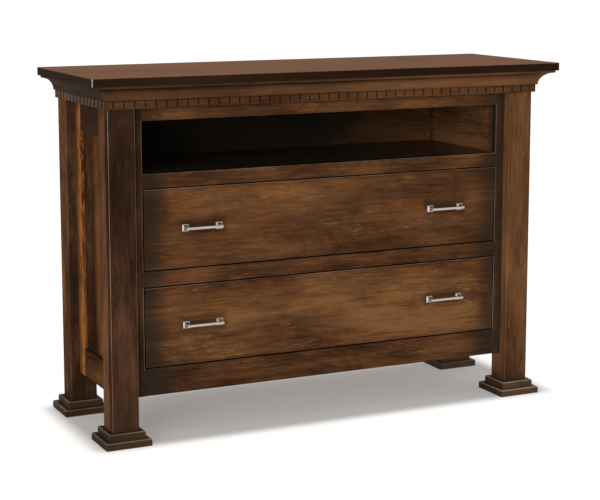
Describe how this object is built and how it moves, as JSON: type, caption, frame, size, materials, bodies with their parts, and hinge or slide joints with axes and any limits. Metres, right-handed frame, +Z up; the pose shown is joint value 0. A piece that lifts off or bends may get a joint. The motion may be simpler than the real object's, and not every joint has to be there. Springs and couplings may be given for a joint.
{
  "type": "media chest",
  "caption": "Wide media chest with an open compartment over two full-width drawers, on square posts with stepped block feet, under a coved cornice with a dentil strip.",
  "frame": {"origin": "on the floor, midway between the left and right edges of the top and midway between the front edge of the top and the back of the rear feet", "axes": "+X to the right for someone facing the chest, +Y from the front to the back, +Z up"},
  "size_m": [1.393, 0.501, 0.97],
  "materials": {
    "stained_maple": "dark brown stain under satin lacquer",
    "stained_maple_top": "dark brown stain under a smoother satin lacquer",
    "stained_maple_inside": "dark brown stain, sealed",
    "drawer_box_maple": "clear satin lacquer",
    "satin_nickel": "satin nickel plate",
    "zinc_steel": "bright zinc plate"
  },
  "bodies": {
    "chest": {"top_slab": "stained_maple_top", "crown_front": "stained_maple", "crown_left": "stained_maple", "crown_right": "stained_maple", "dentil_front": "stained_maple", "dentil_left": "stained_maple", "dentil_right": "stained_maple", "post_front_left": "stained_maple", "post_front_right": "stained_maple", "post_rear_left": "stained_maple", "post_rear_right": "stained_maple", "foot_front_left": "stained_maple", "foot_front_right": "stained_maple", "foot_rear_left": "stained_maple", "foot_rear_right": "stained_maple", "face_stile_left": "stained_maple", "face_stile_right": "stained_maple", "face_rail_bottom": "stained_maple", "face_rail_middle": "stained_maple", "face_rail_shelf": "stained_maple", "face_rail_top": "stained_maple", "side_stile_front_left": "stained_maple", "side_stile_rear_left": "stained_maple", "side_rail_bottom_left": "stained_maple", "side_rail_top_left": "stained_maple", "side_panel_left": "stained_maple", "side_stile_front_right": "stained_maple", "side_stile_rear_right": "stained_maple", "side_rail_bottom_right": "stained_maple", "side_rail_top_right": "stained_maple", "side_panel_right": "stained_maple", "gable_left": "stained_maple_inside", "gable_right": "stained_maple_inside", "media_shelf": "stained_maple_top", "back_panel": "stained_maple_inside", "rear_rail_bottom": "stained_maple_inside", "rear_rail_top": "stained_maple_inside", "slide_cabinet_members": "zinc_steel"},
    "upper_slide_middles": {"upper_slide_middle_members": "zinc_steel"},
    "upper_drawer": {"upper_slide_drawer_members": "zinc_steel", "upper_drawer_front": "stained_maple", "upper_box_front": "drawer_box_maple", "upper_box_back": "drawer_box_maple", "upper_box_left": "drawer_box_maple", "upper_box_right": "drawer_box_maple", "upper_box_bottom": "drawer_box_maple", "upper_pull_left": "satin_nickel", "upper_pull_right": "satin_nickel", "upper_pull_screws": "zinc_steel"},
    "lower_slide_middles": {"lower_slide_middle_members": "zinc_steel"},
    "lower_drawer": {"lower_slide_drawer_members": "zinc_steel", "lower_drawer_front": "stained_maple", "lower_box_front": "drawer_box_maple", "lower_box_back": "drawer_box_maple", "lower_box_left": "drawer_box_maple", "lower_box_right": "drawer_box_maple", "lower_box_bottom": "drawer_box_maple", "lower_pull_left": "satin_nickel", "lower_pull_right": "satin_nickel", "lower_pull_screws": "zinc_steel"}
  },
  "joints": [
    {"name": "upper_drawer_slide", "type": "slide", "parent": "chest", "child": "upper_drawer", "axis": [0, -1, 0], "range_m": [0, 0.32]},
    {"name": "upper_slide_middles_slide", "type": "slide", "parent": "chest", "child": "upper_slide_middles", "axis": [0, -1, 0], "range_m": [0, 0.16]},
    {"name": "lower_drawer_slide", "type": "slide", "parent": "chest", "child": "lower_drawer", "axis": [0, -1, 0], "range_m": [0, 0.32]},
    {"name": "lower_slide_middles_slide", "type": "slide", "parent": "chest", "child": "lower_slide_middles", "axis": [0, -1, 0], "range_m": [0, 0.16]}
  ],
  "couplings": [
    {"joint": "upper_slide_middles_slide", "follows": "upper_drawer_slide", "ratio": 0.5},
    {"joint": "lower_slide_middles_slide", "follows": "lower_drawer_slide", "ratio": 0.5}
  ]
}
